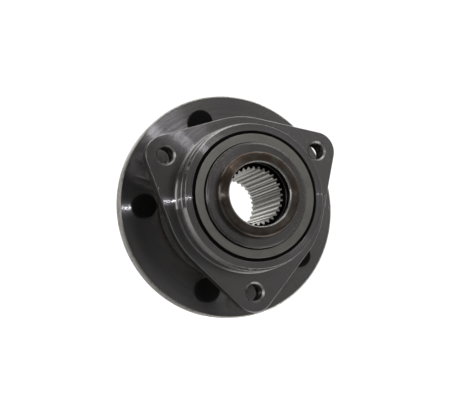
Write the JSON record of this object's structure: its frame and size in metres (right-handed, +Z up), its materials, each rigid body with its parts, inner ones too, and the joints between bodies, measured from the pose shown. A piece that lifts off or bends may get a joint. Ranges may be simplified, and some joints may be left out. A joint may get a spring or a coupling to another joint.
{
  "type": "wheel hub bearing",
  "caption": "Driven wheel hub bearing: a studded wheel flange with a splined bore, turning on caged ball rows in an outer ring with an eared mounting flange.",
  "frame": {"origin": "on the hub's axis, in the plane of the mounting face that bolts against the knuckle", "axes": "+Y along the hub's axis towards the wheel, +Z up, with one mounting ear pointing straight down"},
  "size_m": [0.146, 0.0984, 0.146],
  "materials": {
    "ring_steel": "turned bearing steel, oiled, satin grey",
    "hub_steel": "turned forged steel with a rough bright rim",
    "ground_steel": "fine ground bearing steel",
    "slinger_steel": "rolled stainless sheet, dull olive grey",
    "cage_plastic": "moulded glass-filled nylon",
    "ball_steel": "polished bearing balls",
    "seal_rubber": "moulded black nitrile rubber",
    "stud_steel": "black phosphate, oiled"
  },
  "bodies": {
    "knuckle_side": {"outer_ring": "ring_steel", "inboard_seal_case": "slinger_steel", "inboard_seal_lip": "seal_rubber", "outboard_seal_case": "slinger_steel", "outboard_seal_lip": "seal_rubber"},
    "wheel_side": {"hub_flange": "hub_steel", "inner_ring": "ground_steel", "inboard_slinger": "slinger_steel", "wheel_stud_1": "stud_steel", "wheel_stud_2": "stud_steel", "wheel_stud_3": "stud_steel", "wheel_stud_4": "stud_steel", "wheel_stud_5": "stud_steel"},
    "inboard_ball_row": {"inboard_cage": "cage_plastic", "inboard_ball_01": "ball_steel", "inboard_ball_02": "ball_steel", "inboard_ball_03": "ball_steel", "inboard_ball_04": "ball_steel", "inboard_ball_05": "ball_steel", "inboard_ball_06": "ball_steel", "inboard_ball_07": "ball_steel", "inboard_ball_08": "ball_steel", "inboard_ball_09": "ball_steel", "inboard_ball_10": "ball_steel", "inboard_ball_11": "ball_steel", "inboard_ball_12": "ball_steel", "inboard_ball_13": "ball_steel", "inboard_ball_14": "ball_steel"},
    "outboard_ball_row": {"outboard_cage": "cage_plastic", "outboard_ball_01": "ball_steel", "outboard_ball_02": "ball_steel", "outboard_ball_03": "ball_steel", "outboard_ball_04": "ball_steel", "outboard_ball_05": "ball_steel", "outboard_ball_06": "ball_steel", "outboard_ball_07": "ball_steel", "outboard_ball_08": "ball_steel", "outboard_ball_09": "ball_steel", "outboard_ball_10": "ball_steel", "outboard_ball_11": "ball_steel", "outboard_ball_12": "ball_steel", "outboard_ball_13": "ball_steel", "outboard_ball_14": "ball_steel"}
  },
  "joints": [
    {"name": "hub_spin", "type": "hinge", "parent": "knuckle_side", "child": "wheel_side", "pos_m": [0, 0, 0], "axis": [0, 1, 0], "continuous": true},
    {"name": "inboard_row_orbit", "type": "hinge", "parent": "knuckle_side", "child": "inboard_ball_row", "pos_m": [0, 0, 0], "axis": [0, 1, 0], "continuous": true},
    {"name": "outboard_row_orbit", "type": "hinge", "parent": "knuckle_side", "child": "outboard_ball_row", "pos_m": [0, 0, 0], "axis": [0, 1, 0], "continuous": true}
  ],
  "couplings": [
    {"joint": "inboard_row_orbit", "follows": "hub_spin", "ratio": 0.4298},
    {"joint": "outboard_row_orbit", "follows": "hub_spin", "ratio": 0.4298}
  ]
}
